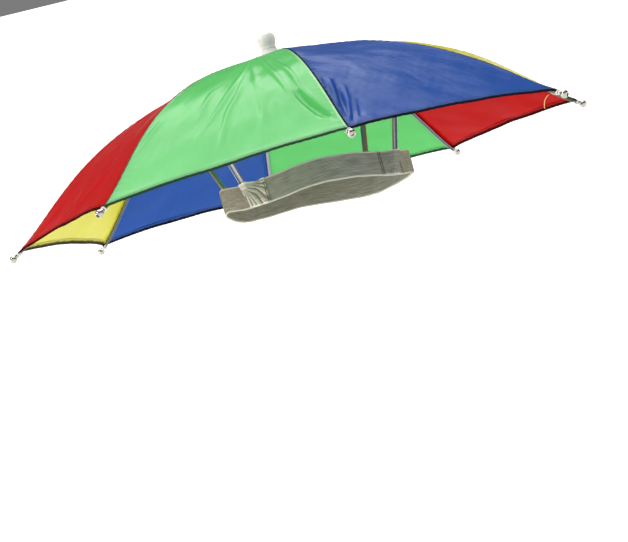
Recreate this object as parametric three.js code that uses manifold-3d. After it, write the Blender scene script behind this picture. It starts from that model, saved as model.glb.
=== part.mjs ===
import * as THREE from "three";
import Module from "manifold-3d";
import { mergeVertices } from "three/addons/utils/BufferGeometryUtils.js";

// An umbrella hat, in millimetres. +Z is the canopy's axis, pointing up, and -Y is the wearer's front.
// The origin is on that axis at mid height of the headband. Angles run from -Y towards +X.

// Canopy
const RIB_COUNT = 8;
const TIP_RADIUS = 275; // from the axis to the middle of a rib tip's ball
const CANOPY_RISE = 116; // from those balls up to the top of the cloth
const RIM_HEIGHT = 8.7; // from mid height of the headband up to those balls
const CLOTH = 1; // wall of a panel or a pocket
const NECK_HOLE_RADIUS = 5; // hole in the cloth at the top
const HEM_SCALLOP = 6; // how far a hem curves in between two tips
const PANEL_SAG = 1; // how far a panel sinks below the straight line between two ribs
const GAP = 0.3; // between pieces that meet

// The rib's curve runs level from the axis to its shoulder, then down its flank to the tip.
// The columns are shares of TIP_RADIUS and of the rib's rise.
const RIB_CURVE = {
  shoulder: { out: 0.63, up: 1 },
  flank: { out: 0.82, up: 0.21 },
};

// Frame
const RIB = { width: 3, depth: 2, wall: 0.5, chamfer: 0.7 };
const STRETCHER = { width: 3.4, depth: 2, wall: 0.5, chamfer: 0 };
const LEG = { width: 5.5, depth: 2, wall: 0.6, chamfer: 0 };
const JOINT_RADIUS = 131; // where a stretcher and a leg meet their rib
const FOOT_MARGIN = 3; // from a leg's end down to the headband's lower edge

// The legs, at every second rib. Their feet stand a little to the side of their ribs, and each has a
// pocket from one side of the foot to the other, all measured along the band as angles grow.
const LEGS = [
  { name: "front", footAside: -7, pocketFrom: -14.5, pocketTo: 12 },
  { name: "left", footAside: -4, pocketFrom: -16.5, pocketTo: 6 },
  { name: "back", footAside: 0, pocketFrom: -13, pocketTo: 13 },
  { name: "right", footAside: 4, pocketFrom: -6, pocketTo: 16.5 },
];

// Rib tip
const BALL_RADIUS = 3.5;
const TIP_STEM_RADIUS = 1.8;
const TIP_STEM_LENGTH = 8; // from the ball's middle back to the rib's end
const BALL_HOLE_RADIUS = 1.5;
const BALL_HOLE_DEPTH = 2;

// Headband
const BAND_HALF_LENGTH = 89.5; // front to back, to the outer face
const BAND_HALF_WIDTH = 87.5; // side to side, to the outer face
const BAND_FORWARD = 10.7; // its middle is ahead of the axis
const BAND_HEIGHT = 22;
const BAND_WALL = 1.5;
const BAND_FALL_LEFT = 0.062; // millimetres that it falls for each one towards the wearer's left
const BAND_FALL_FRONT = 0.013; // millimetres that it falls for each one towards the front
const BAND_DIP = 2.4; // how far it dips at each leg, and rises between two
const POCKET_SLOPE = 1.5; // run of cloth from the sewn wing up to the leg's channel

// Middle
const SHAFT_RADIUS = 4;
const HUB = { radius: 14, height: 9, notchRoot: 8 };
const RUNNER = { radius: 14, height: 8, notchRoot: 8 };
const RUNNER_DROP = 14; // from the hub's underside to the runner's
const SHAFT_END = 2; // shaft below the runner
const STUD_RADIUS = 2.2;
const STUD_DEPTH = 7; // how far the finial's stud goes into the shaft
const COLLAR = { foot: 11, top: 7.2, height: 8.2, lip: 0.8 };

// Half outline of the finial: shares of its height and of its largest radius, from its base up
const FINIAL_HEIGHT = 16.3;
const FINIAL_RADIUS = 8.6;
const FINIAL_OUTLINE = [
  { up: 0, out: 0.82 },
  { up: 0.12, out: 0.8 },
  { up: 0.3, out: 0.92 },
  { up: 0.5, out: 1 },
  { up: 0.68, out: 0.97 },
  { up: 0.84, out: 0.8 },
  { up: 0.95, out: 0.48 },
  { up: 1, out: 0.16 },
];

const PANEL_COLOURS = [
  { name: "yellow", colour: 0xded95f },
  { name: "red", colour: 0xc21716 },
  { name: "green", colour: 0x8cda8e },
  { name: "blue", colour: 0x5168a9 },
];

// How finely curves are cut
const CUTS = {
  ribLength: 12,
  panelAcross: 8,
  panelDown: 12,
  ballOutline: 5,
  ballSides: 10,
  shaftSides: 16,
  finialSides: 16,
  collarSides: 24,
  discSides: 32,
  bandQuarters: 40,
};

const finish = (color, roughness, metalness) =>
  new THREE.MeshStandardMaterial({ color, roughness, metalness });
const steel = finish(0xb9bcbc, 0.35, 1);
const nickel = finish(0xd4d4d0, 0.2, 1);
const elastic = finish(0xe8e8e2, 0.9, 0);
const paleGreyPlastic = finish(0xbdc1bb, 0.5, 0);
const blackPlastic = finish(0x26282a, 0.5, 0);

const wasm = await Module();
wasm.setup();

const hat = new THREE.Group();
const halfPanelAngle = Math.PI / RIB_COUNT;
const ribAngle = (index) => (2 * Math.PI * index) / RIB_COUNT;

function add(name, geometry, material) {
  const mesh = new THREE.Mesh(geometry, material);
  mesh.name = name;
  hat.add(mesh);
}

// A geometry with each of its vertices moved by place, which turns one vector into another.
function reshaped(geometry, place) {
  const vertices = geometry.getAttribute("position");
  const vertex = new THREE.Vector3();
  for (let i = 0; i < vertices.count; i++) {
    const moved = place(vertex.fromBufferAttribute(vertices, i));
    vertices.setXYZ(i, moved.x, moved.y, moved.z);
  }
  return geometry;
}

// A solid of revolution about +Z from an outline of { radius, height }.
function turned(outline, sides) {
  const profile = outline.map((p) => new THREE.Vector2(p.radius, p.height));
  return new THREE.LatheGeometry(profile, sides).rotateX(Math.PI / 2);
}

function toSolid(geometry) {
  const bare = geometry.clone().deleteAttribute("normal").deleteAttribute("uv");
  const merged = mergeVertices(bare, 1e-4);
  return new wasm.Manifold(
    new wasm.Mesh({
      numProp: 3,
      vertProperties: merged.attributes.position.array,
      triVerts: new Uint32Array(merged.index.array),
    }),
  );
}

function toGeometry(solid) {
  const mesh = solid.getMesh();
  const positions = new THREE.BufferAttribute(mesh.vertProperties, mesh.numProp);
  return new THREE.BufferGeometry()
    .setAttribute("position", positions)
    .setIndex(new THREE.BufferAttribute(mesh.triVerts, 1));
}

// Outward direction at an angle about the axis, and the direction in which the angle grows.
const outwardAt = (angle) => new THREE.Vector3(Math.sin(angle), -Math.cos(angle), 0);
const acrossAt = (angle) => new THREE.Vector3(Math.cos(angle), Math.sin(angle), 0);
const up = new THREE.Vector3(0, 0, 1);

// Section of a folded strip, its back up and its open side down, with its corners cut by the chamfer.
function channelSection({ width, depth, wall, chamfer }) {
  const side = width / 2;
  const top = depth / 2;
  const inside = side - wall;
  const ceiling = top - wall;
  const flatTop = [[side, top], [-side, top]];
  const cutTop = [
    [side, top - chamfer],
    [side - chamfer, top],
    [chamfer - side, top],
    [-side, top - chamfer],
  ];
  const outer = [[side, -top], ...(chamfer ? cutTop : flatTop), [-side, -top]];
  const inner = [[-inside, -top], [-inside, ceiling], [inside, ceiling], [inside, -top]];
  return new THREE.Shape([...outer, ...inner].map(([x, y]) => new THREE.Vector2(x, y)));
}

// A channel along a path: each station gives the section's centre, its direction across and its back's.
function channel(size, stations) {
  const steps = stations.length - 1;
  const settings = { depth: 1, steps, bevelEnabled: false };
  const straight = new THREE.ExtrudeGeometry(channelSection(size), settings);
  return reshaped(straight, (vertex) => {
    const { centre, across, back } = stations[Math.round(vertex.z * steps)];
    return centre.clone().addScaledVector(across, vertex.x).addScaledVector(back, vertex.y);
  });
}

// Middle line of a rib, in the plane of the axis: x is the radius, y the height.
const ribTop = CANOPY_RISE - CLOTH - GAP - RIB.depth / 2;
const onRib = ({ out, up: height }) =>
  new THREE.Vector2(out * TIP_RADIUS, RIM_HEIGHT + height * ribTop);
const ribLine = new THREE.CubicBezierCurve(
  onRib({ out: 0, up: 1 }),
  onRib(RIB_CURVE.shoulder),
  onRib(RIB_CURVE.flank),
  onRib({ out: 1, up: 0 }),
);
const ribLength = ribLine.getLength();
const hemLength = ribLength - TIP_STEM_LENGTH - GAP;

// Point at a length along the rib, raised by lift square to it, and the direction of that lift.
function besideRib(length, lift) {
  const along = ribLine.getTangentAt(length / ribLength);
  const normal = new THREE.Vector2(-along.y, along.x);
  const point = ribLine.getPointAt(length / ribLength).addScaledVector(normal, lift);
  return { point, normal, along };
}

// Length along the rib at which it reaches a radius, found by halving.
function lengthAtRadius(radius) {
  let low = 0;
  let high = ribLength;
  while (high - low > 1e-6) {
    const middle = (low + high) / 2;
    if (besideRib(middle, 0).point.x < radius) low = middle;
    else high = middle;
  }
  return low;
}

const inPlane = (angle, flat) => outwardAt(angle).multiplyScalar(flat.x).addScaledVector(up, flat.y);

function rib(angle) {
  const start = lengthAtRadius(HUB.notchRoot + GAP);
  const stations = Array.from({ length: CUTS.ribLength + 1 }, (_, i) => {
    const length = THREE.MathUtils.lerp(start, hemLength, i / CUTS.ribLength);
    const { point, normal } = besideRib(length, 0);
    return {
      centre: inPlane(angle, point),
      across: acrossAt(angle),
      back: inPlane(angle, normal),
    };
  });
  return channel(RIB, stations);
}

// A ball on a stem, with a blind hole in its outer end, turned about the rib's last direction.
function ribTip(angle) {
  const mouth = Math.sqrt(BALL_RADIUS ** 2 - BALL_HOLE_RADIUS ** 2);
  const first = Math.asin(TIP_STEM_RADIUS / BALL_RADIUS);
  const last = Math.PI - Math.asin(BALL_HOLE_RADIUS / BALL_RADIUS);
  const ball = Array.from({ length: CUTS.ballOutline + 1 }, (_, i) => {
    const turn = THREE.MathUtils.lerp(first, last, i / CUTS.ballOutline);
    return { radius: BALL_RADIUS * Math.sin(turn), height: -BALL_RADIUS * Math.cos(turn) };
  });
  const outline = [
    { radius: 0, height: -TIP_STEM_LENGTH },
    { radius: TIP_STEM_RADIUS, height: -TIP_STEM_LENGTH },
    ...ball,
    { radius: BALL_HOLE_RADIUS, height: mouth - BALL_HOLE_DEPTH },
    { radius: 0, height: mouth - BALL_HOLE_DEPTH },
  ];
  const { point, along } = besideRib(ribLength, 0);
  const turn = new THREE.Quaternion().setFromUnitVectors(up, inPlane(angle, along));
  const centre = inPlane(angle, point);
  return turned(outline, CUTS.ballSides).applyQuaternion(turn).translate(centre.x, centre.y, centre.z);
}

// A point of a panel. side runs from -1 to 1 between its two ribs, down from 0 at the neck to 1 at the
// hem, and depth from 0 on the outer face to 1 on the inner one. It is straight across between the ribs
// but for its sag, and its wall is measured in the plane of the axis, so that panels meet at the seams.
function panelPoint(middleAngle, side, down, depth) {
  const bow = 1 - side * side;
  const length = THREE.MathUtils.lerp(NECK_HOLE_RADIUS, hemLength - HEM_SCALLOP * bow, down);
  const { point, normal } = besideRib(length, RIB.depth / 2 + GAP + CLOTH);
  const halfChord = point.x * Math.sin(halfPanelAngle) - GAP / 2;
  const place = outwardAt(middleAngle)
    .multiplyScalar(point.x * Math.cos(halfPanelAngle))
    .addScaledVector(acrossAt(middleAngle), side * halfChord);
  const wallDirection = place.clone().normalize().multiplyScalar(normal.x).setZ(normal.y);
  const sag = PANEL_SAG * bow * Math.sin(Math.PI * down) ** 2;
  return place.setZ(point.y).addScaledVector(wallDirection, -sag - depth * CLOTH);
}

function panel(middleAngle) {
  const sheet = new THREE.BoxGeometry(1, 1, 1, CUTS.panelAcross, CUTS.panelDown, 1);
  return reshaped(sheet, (v) => panelPoint(middleAngle, 2 * v.x, 0.5 - v.y, 0.5 - v.z));
}

// A disc with a bore, and one notch in its rim for each rib or stretcher.
function notchedDisc({ radius, notchRoot }, bottom, top, notchWidth, notchBottom, notchTop) {
  const bore = SHAFT_RADIUS + GAP;
  const outline = [
    { radius: bore, height: bottom },
    { radius, height: bottom },
    { radius, height: top },
    { radius: bore, height: top },
    { radius: bore, height: bottom },
  ];
  let disc = toSolid(turned(outline, CUTS.discSides));
  for (let i = 0; i < RIB_COUNT; i++) {
    const notch = new THREE.BoxGeometry(notchWidth, radius, notchTop - notchBottom)
      .translate(0, -notchRoot - radius / 2, (notchBottom + notchTop) / 2)
      .rotateZ(ribAngle(i));
    disc = disc.subtract(toSolid(notch));
  }
  return toGeometry(disc);
}

// The hub's top follows the cloth's underside at its rim, where the panels hang lowest.
const clothOverHub = besideRib(HUB.radius / Math.cos(halfPanelAngle), RIB.depth / 2 + GAP).point.y;
const hubTop = clothOverHub - GAP;
const hubBottom = hubTop - HUB.height;
const runnerBottom = hubBottom - RUNNER_DROP;
const runnerTop = runnerBottom + RUNNER.height;
const stretcherRoot = new THREE.Vector2(RUNNER.notchRoot + GAP, runnerTop - STRETCHER.depth / 2);
const jointLength = lengthAtRadius(JOINT_RADIUS);
const stretcherLift = -RIB.depth / 2 - GAP - STRETCHER.depth / 2;
const stretcherEnd = besideRib(jointLength, stretcherLift).point;
const stretcherFall = (stretcherRoot.y - stretcherEnd.y) / (stretcherEnd.x - stretcherRoot.x);

function stretcher(angle) {
  const along = stretcherEnd.clone().sub(stretcherRoot).normalize();
  const back = inPlane(angle, new THREE.Vector2(-along.y, along.x));
  const stations = [stretcherRoot, stretcherEnd].map((point) => ({
    centre: inPlane(angle, point),
    across: acrossAt(angle),
    back,
  }));
  return channel(STRETCHER, stations);
}

// Height of the headband's middle plane, which is askew to the canopy, over or under the origin.
const bandPlane = (x, y) => BAND_FALL_FRONT * y - BAND_FALL_LEFT * x;

// How far the band's middle is above that plane, at an angle round it.
const bandWave = (angle) => -BAND_DIP * Math.cos(LEGS.length * angle);

// A point on the headband: angle round it, offset out from its outer face, height from its mid height.
function onBand(angle, offset, height) {
  const x = (BAND_HALF_WIDTH + offset) * Math.sin(angle);
  const y = -BAND_FORWARD - (BAND_HALF_LENGTH + offset) * Math.cos(angle);
  return new THREE.Vector3(x, y, height + bandPlane(x, y) + bandWave(angle));
}

// Angle round the headband of a point in plan.
const bandAngleOf = (x, y) => Math.atan2(x / BAND_HALF_WIDTH, -(y + BAND_FORWARD) / BAND_HALF_LENGTH);

// Angle round the headband at which a ray from the axis meets it.
function bandAngleToward(angle) {
  const { x, y } = outwardAt(angle);
  const square = (x / BAND_HALF_WIDTH) ** 2 + (y / BAND_HALF_LENGTH) ** 2;
  const half = (y * BAND_FORWARD) / BAND_HALF_LENGTH ** 2;
  const rest = (BAND_FORWARD / BAND_HALF_LENGTH) ** 2 - 1;
  const reach = (Math.sqrt(half ** 2 - square * rest) - half) / square;
  return bandAngleOf(reach * x, reach * y);
}

function headband() {
  const ring = new THREE.Shape().absellipse(
    0, -BAND_FORWARD, BAND_HALF_WIDTH, BAND_HALF_LENGTH, 0, 2 * Math.PI);
  ring.holes.push(new THREE.Path().absellipse(
    0, -BAND_FORWARD, BAND_HALF_WIDTH - BAND_WALL, BAND_HALF_LENGTH - BAND_WALL, 0, 2 * Math.PI));
  const settings = { depth: BAND_HEIGHT, curveSegments: CUTS.bandQuarters, bevelEnabled: false };
  const level = new THREE.ExtrudeGeometry(ring, settings).translate(0, 0, -BAND_HEIGHT / 2);
  return reshaped(level, (v) => v.setZ(v.z + bandPlane(v.x, v.y) + bandWave(bandAngleOf(v.x, v.y))));
}

const footHeight = FOOT_MARGIN - BAND_HEIGHT / 2;

// A leg's middle line, from under its rib's joint to near the band's lower edge. footAngle is the
// foot's place round the band.
function legLine(angle, footAside) {
  const headLift = stretcherLift - STRETCHER.depth / 2 - GAP - LEG.depth / 2;
  const head = inPlane(angle, besideRib(jointLength, headLift).point);
  const footAngle = bandAngleToward(angle) + footAside / BAND_HALF_WIDTH;
  const foot = onBand(footAngle, GAP + LEG.depth / 2, footHeight);
  return { head, foot, footAngle };
}

// A leg twists from square to its rib at its head to flat on the band at its foot, its open side out.
function leg(angle, footAside) {
  const { head, foot, footAngle } = legLine(angle, footAside);
  const along = foot.clone().sub(head).normalize();
  const station = (centre, turn) => {
    const across = acrossAt(turn).negate().projectOnPlane(along).normalize();
    return { centre, across, back: new THREE.Vector3().crossVectors(along, across) };
  };
  return channel(LEG, [station(head, angle), station(foot, footAngle)]);
}

// A patch on the band's outer face, sewn down at its two sides. It is raised over the leg's end, leans
// out with the leg, and is open above and below.
function pocket(angle, { footAside, pocketFrom, pocketTo }) {
  const { head, foot, footAngle } = legLine(angle, footAside);
  const legRun = head.clone().sub(foot);
  const legRise = legRun.z - bandPlane(legRun.x, legRun.y);
  const leanOut = legRun.dot(outwardAt(footAngle)) / legRise;
  const leanAside = legRun.dot(acrossAt(footAngle)) / legRise;
  const ridge = LEG.width / 2 + GAP;
  const foldFrom = -ridge - POCKET_SLOPE;
  const foldTo = ridge + POCKET_SLOPE;
  const stations = [
    { aside: pocketFrom, raised: 0, wall: 0 },
    { aside: (pocketFrom + foldFrom) / 2, raised: 0, wall: 0 },
    { aside: foldFrom, raised: 0, wall: -CLOTH },
    { aside: -ridge, raised: 1, wall: -CLOTH },
    { aside: ridge, raised: 1, wall: CLOTH },
    { aside: foldTo, raised: 0, wall: CLOTH },
    { aside: (foldTo + pocketTo) / 2, raised: 0, wall: 0 },
    { aside: pocketTo, raised: 0, wall: 0 },
  ];
  const steps = stations.length - 1;
  const patch = new THREE.BoxGeometry(1, 1, 1, steps, 1, 1);
  return reshaped(patch, (v) => {
    const { aside, raised, wall } = stations[Math.round((v.x + 0.5) * steps)];
    const outer = v.z + 0.5;
    const height = v.y * BAND_HEIGHT;
    const lift = LEG.depth + GAP + leanOut * (height - footHeight);
    const offset = GAP + raised * lift + outer * CLOTH;
    const place = aside + raised * leanAside * (height - footHeight) + outer * wall;
    return onBand(footAngle + place / BAND_HALF_WIDTH, offset, height);
  });
}

function shaft() {
  const top = hubTop;
  const bottom = runnerBottom - SHAFT_END;
  const holeRadius = STUD_RADIUS + GAP;
  const holeBottom = top - STUD_DEPTH - GAP;
  return turned(
    [
      { radius: 0, height: bottom },
      { radius: SHAFT_RADIUS, height: bottom },
      { radius: SHAFT_RADIUS, height: top },
      { radius: holeRadius, height: top },
      { radius: holeRadius, height: holeBottom },
      { radius: 0, height: holeBottom },
    ],
    CUTS.shaftSides,
  );
}

const clothTop = RIM_HEIGHT + CANOPY_RISE;
const collarBottom = clothTop + GAP;
const collarTop = collarBottom + COLLAR.height;

function collar() {
  const bore = STUD_RADIUS + GAP;
  return turned(
    [
      { radius: bore, height: collarBottom },
      { radius: COLLAR.foot, height: collarBottom },
      { radius: COLLAR.foot, height: collarBottom + COLLAR.lip },
      { radius: COLLAR.top, height: collarTop },
      { radius: bore, height: collarTop },
      { radius: bore, height: collarBottom },
    ],
    CUTS.collarSides,
  );
}

function finial() {
  const base = collarTop + GAP;
  const bulb = FINIAL_OUTLINE.map((p) => ({
    radius: p.out * FINIAL_RADIUS,
    height: base + p.up * FINIAL_HEIGHT,
  }));
  return turned(
    [
      { radius: 0, height: hubTop - STUD_DEPTH },
      { radius: STUD_RADIUS, height: hubTop - STUD_DEPTH },
      { radius: STUD_RADIUS, height: base },
      ...bulb,
      { radius: 0, height: base + FINIAL_HEIGHT },
    ],
    CUTS.finialSides,
  );
}

for (let i = 0; i < RIB_COUNT; i++) {
  const number = i + 1;
  const { name, colour } = PANEL_COLOURS[i % PANEL_COLOURS.length];
  const cloth = finish(colour, 0.6, 0);
  add(`panel_${number}_${name}`, panel(ribAngle(i) + halfPanelAngle), cloth);
  add(`rib_${number}`, rib(ribAngle(i)), steel);
  add(`rib_tip_${number}`, ribTip(ribAngle(i)), nickel);
  add(`stretcher_${number}`, stretcher(ribAngle(i)), steel);
}

LEGS.forEach((side, i) => {
  const angle = ribAngle(Math.round((i * RIB_COUNT) / LEGS.length));
  add(`leg_${side.name}`, leg(angle, side.footAside), steel);
  add(`pocket_${side.name}`, pocket(angle, side), elastic);
});

const ribTopHeight = besideRib(HUB.radius, RIB.depth / 2).point.y;
const ribNotchBottom = besideRib(HUB.radius, -RIB.depth / 2).point.y - GAP;
const stretcherNotchBottom =
  runnerTop - STRETCHER.depth - stretcherFall * (RUNNER.radius - stretcherRoot.x) - GAP;
add("headband", headband(), elastic);
add(
  "hub",
  notchedDisc(HUB, hubBottom, hubTop, RIB.width + 2 * GAP, ribNotchBottom, ribTopHeight + GAP),
  blackPlastic,
);
add(
  "runner",
  notchedDisc(RUNNER, runnerBottom, runnerTop, STRETCHER.width + 2 * GAP,
    stretcherNotchBottom, runnerTop + GAP),
  blackPlastic,
);
add("shaft", shaft(), steel);
add("collar", collar(), paleGreyPlastic);
add("finial", finial(), paleGreyPlastic);

export default hat;
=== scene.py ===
"""An umbrella hat in green, blue, yellow and red cloth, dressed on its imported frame.

Lengths are in metres. +Z is the canopy's axis and points up, -Y is the wearer's front, and angles run
from -Y towards +X. The origin is on the axis at mid height of the headband.
"""

import functools
import math

import bpy
import numpy as np
from mathutils import Matrix


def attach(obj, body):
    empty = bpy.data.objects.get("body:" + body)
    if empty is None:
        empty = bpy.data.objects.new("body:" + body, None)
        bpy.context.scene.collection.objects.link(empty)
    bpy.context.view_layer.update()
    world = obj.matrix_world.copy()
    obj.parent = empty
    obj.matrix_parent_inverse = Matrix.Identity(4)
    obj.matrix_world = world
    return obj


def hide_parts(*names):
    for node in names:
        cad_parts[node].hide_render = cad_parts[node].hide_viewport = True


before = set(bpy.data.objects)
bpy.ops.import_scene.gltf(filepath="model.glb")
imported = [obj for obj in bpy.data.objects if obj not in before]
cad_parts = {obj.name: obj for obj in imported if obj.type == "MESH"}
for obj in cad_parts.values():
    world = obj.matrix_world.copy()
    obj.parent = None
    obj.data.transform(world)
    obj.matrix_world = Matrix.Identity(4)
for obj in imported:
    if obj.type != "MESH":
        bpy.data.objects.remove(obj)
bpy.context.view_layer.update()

# ---------------------------------------------------------------- camera

CAMERA_PLACE = (-1.16974, -0.85536, -0.09594)
CAMERA_AZIMUTH = math.radians(-53.19)
CAMERA_ELEVATION = math.radians(-0.84)
CAMERA_ROLL = math.radians(-15.94)
CAMERA_LENS = 90.3  # on a sensor 36 mm wide


def in_scene(name, data):
    """A new object that is linked into the scene."""
    made = bpy.data.objects.new(name, data)
    bpy.context.scene.collection.objects.link(made)
    return made


def turned_and_placed(right, up, back, place):
    return Matrix(np.vstack([np.array([right, up, back, place]).T, [0, 0, 0, 1]]).tolist())


def place_camera():
    """The camera looks along -back and is rolled about it: right and up turn in the picture's plane."""
    azimuth, elevation = CAMERA_AZIMUTH, CAMERA_ELEVATION
    level = np.array([math.sin(azimuth), -math.cos(azimuth), 0])
    back = level * math.cos(elevation) + np.array([0, 0, math.sin(elevation)])
    right = np.array([math.cos(azimuth), math.sin(azimuth), 0])
    up = np.cross(back, right)
    c, s = math.cos(CAMERA_ROLL), math.sin(CAMERA_ROLL)
    lens = bpy.data.cameras.new("camera")
    lens.sensor_width = 36
    lens.lens = CAMERA_LENS
    lens.clip_start, lens.clip_end = 0.05, 60
    camera = in_scene("camera", lens)
    camera.matrix_world = turned_and_placed(c * right + s * up, c * up - s * right, back, CAMERA_PLACE)
    bpy.context.scene.camera = camera


place_camera()

# ---------------------------------------------------------------- measures, as in the part's source

MM = 0.001
RIB_COUNT = 8
TIP_RADIUS = 275 * MM
CANOPY_RISE = 116 * MM
RIM_HEIGHT = 8.7 * MM
CLOTH_WALL = 1 * MM
NECK_HOLE_RADIUS = 5 * MM
GAP = 0.3 * MM
SHOULDER_OUT, SHOULDER_UP = 0.63, 1.0
FLANK_OUT, FLANK_UP = 0.82, 0.21

RIB = {"width": 3 * MM, "depth": 2 * MM, "wall": 0.5 * MM}
STRETCHER = {"width": 3.4 * MM, "depth": 2 * MM, "wall": 0.5 * MM}
LEG = {"width": 5.5 * MM, "depth": 2 * MM, "wall": 0.6 * MM}
JOINT_RADIUS = 131 * MM
FOOT_MARGIN = 3 * MM
LEGS = (
    {"name": "front", "foot_aside": -7, "pocket_from": -14.5, "pocket_to": 12, "gather": 0.3},
    {"name": "left", "foot_aside": -4, "pocket_from": -16.5, "pocket_to": 6, "gather": 0.7},
    {"name": "back", "foot_aside": 0, "pocket_from": -13, "pocket_to": 13, "gather": 0.5},
    {"name": "right", "foot_aside": 4, "pocket_from": -6, "pocket_to": 16.5, "gather": 1.0},
)

BALL_RADIUS = 3.5 * MM
TIP_STEM_RADIUS = 1.8 * MM
TIP_STEM_LENGTH = 8 * MM
BALL_HOLE_RADIUS = 1.5 * MM
BALL_HOLE_DEPTH = 2 * MM

BAND_HALF_LENGTH = 89.5 * MM
BAND_HALF_WIDTH = 87.5 * MM
BAND_FORWARD = 10.7 * MM
BAND_HEIGHT = 22 * MM
BAND_WALL = 1.5 * MM
BAND_FALL_LEFT = 0.062
BAND_FALL_FRONT = 0.013
BAND_DIP = 2.4 * MM
POCKET_SLOPE = 1.5 * MM

HUB_RADIUS = 14 * MM
HUB_NOTCH_ROOT = 8 * MM
HUB_HEIGHT = 9 * MM
RUNNER_HEIGHT = 8 * MM
RUNNER_DROP = 14 * MM
STUD_RADIUS = 2.2 * MM
STUD_DEPTH = 7 * MM
COLLAR_FOOT, COLLAR_TOP, COLLAR_HEIGHT, COLLAR_LIP = 11 * MM, 7.2 * MM, 8.2 * MM, 0.8 * MM
FINIAL_HEIGHT = 16.3 * MM
FINIAL_RADIUS = 8.6 * MM
FINIAL_UP = (0, 0.12, 0.3, 0.5, 0.68, 0.84, 0.95, 1)
FINIAL_OUT = (0.82, 0.8, 0.92, 1, 0.97, 0.8, 0.48, 0.16)

HALF_PANEL = math.pi / RIB_COUNT
PANEL_COLOURS = ("yellow", "red", "green", "blue")
EDGE_MARKS = ("to_hem", "to_near_seam", "to_far_seam")

# ---------------------------------------------------------------- meshes


def grid_faces(rows, columns, around=False):
    """Four-sided faces between neighbouring points of a grid; around joins the last column to the first."""
    row, column = np.meshgrid(
        np.arange(rows - 1), np.arange(columns if around else columns - 1), indexing="ij"
    )
    beside = (column + 1) % columns
    corners = [row * columns + column, row * columns + beside]
    corners += [(row + 1) * columns + beside, (row + 1) * columns + column]
    return np.stack(corners, -1).reshape(-1, 4)


def facing_out(points, faces):
    """The faces, all turned round if the body's signed volume, a sum of triple products, is negative."""
    a, b, c, d = (points[faces[:, i]] for i in range(4))
    volume = np.einsum("ij,ij->", a, np.cross(b, c)) + np.einsum("ij,ij->", a, np.cross(c, d))
    return faces if volume >= 0 else faces[:, [1, 0, 3, 2]]


def unit(vectors):
    return vectors / np.linalg.norm(vectors, axis=-1, keepdims=True)


def full_turn(count):
    return np.linspace(0, 2 * np.pi, count, endpoint=False)


def circle(angle):
    return np.stack([np.cos(angle), np.sin(angle)], -1)


def signed_power(value, power):
    """The value's size raised to a power, with its sign kept."""
    return np.sign(value) * np.abs(value) ** power


def grid_normals(points):
    """Unit normals of a grid: the cross product of its differences along the two directions."""
    down, across = np.gradient(points, axis=0), np.gradient(points, axis=1)
    normals = np.cross(down, across)
    return normals / np.maximum(np.linalg.norm(normals, axis=-1, keepdims=True), 1e-12)


def sheet_body(outer, inner):
    """Points and faces of a closed sheet: an outer grid, an inner one, and a strip round their border."""
    rows, columns = outer.shape[:2]
    count = rows * columns
    index = np.arange(count).reshape(rows, columns)
    ring = [index[0, :-1], index[:-1, -1], index[-1, :0:-1], index[:0:-1, 0]]
    ring = np.concatenate(ring)
    ahead = np.roll(ring, -1)
    face = grid_faces(rows, columns)
    strip = np.stack([ahead, ring, ring + count, ahead + count], -1)
    points = np.concatenate([outer.reshape(-1, 3), inner.reshape(-1, 3)])
    return points, facing_out(points, np.concatenate([face, face[:, ::-1] + count, strip]))


def tube_body(rings):
    """Points and faces of a closed body made of rings of points, with both ends closed by fans."""
    rows, columns = rings.shape[:2]
    count = rows * columns
    column = np.arange(columns)
    beside = (column + 1) % columns
    first = np.stack([beside, column, np.full(columns, count), np.full(columns, count)], -1)
    last = np.stack([column, beside, np.full(columns, count + 1), np.full(columns, count + 1)], -1)
    last[:, :2] += count - columns
    points = np.concatenate([rings.reshape(-1, 3), rings[:1].mean(1), rings[-1:].mean(1)])
    return points, facing_out(points, np.concatenate([grid_faces(rows, columns, True), first, last]))


def joined(bodies):
    """Several bodies as one: their points after each other, and their faces counted on."""
    points, faces, base = [], [], 0
    for body_points, body_faces in bodies:
        points.append(body_points)
        faces.append(body_faces + base)
        base += len(body_points)
    return np.concatenate(points), np.concatenate(faces)


def piece(name, body, material, replaces=(), uv=None, marks=None, sharp=40):
    """A named piece of the hat from points and faces. A face that names its last point twice is a
    triangle. uv gives each point its place on the flat cloth, and marks are values kept at the points."""
    points, faces = body
    mesh = bpy.data.meshes.new(name)
    triangle = faces[:, 2] == faces[:, 3]
    corners = [f[:3] if t else f for f, t in zip(faces.tolist(), triangle.tolist())]
    mesh.from_pydata(points.tolist(), [], corners)
    mesh.polygons.foreach_set("use_smooth", np.ones(len(faces), bool))
    mesh.update()
    mesh.set_sharp_from_angle(angle=math.radians(sharp))
    if uv is not None:
        layer = mesh.uv_layers.new(name="cloth")
        used = np.zeros(len(mesh.loops), np.int32)
        mesh.loops.foreach_get("vertex_index", used)
        layer.data.foreach_set("uv", uv[used].astype(np.float32).ravel())
    for mark, values in (marks or {}).items():
        attribute = mesh.attributes.new(mark, "FLOAT", "POINT")
        attribute.data.foreach_set("value", values.astype(np.float32))
    mesh.materials.append(material)
    made = in_scene(name, mesh)
    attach(made, "root")
    if replaces:
        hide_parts(*replaces)
    return made


def smooth_line(points, steps):
    """A Catmull-Rom curve through points: each stretch is a cubic whose end slopes are half the
    difference of the neighbouring points."""
    points = np.asarray(points, float)
    ends = np.vstack([2 * points[0] - points[1], points, 2 * points[-1] - points[-2]])
    place = np.linspace(0, len(points) - 1, steps)
    first = np.minimum(place.astype(int), len(points) - 2)
    t = (place - first)[:, None]
    a, b, c, d = (ends[first + i] for i in range(4))
    return 0.5 * (2 * b + (c - a) * t + (2 * a - 5 * b + 4 * c - d) * t**2 + (3 * b - a - 3 * c + d) * t**3)


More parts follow.
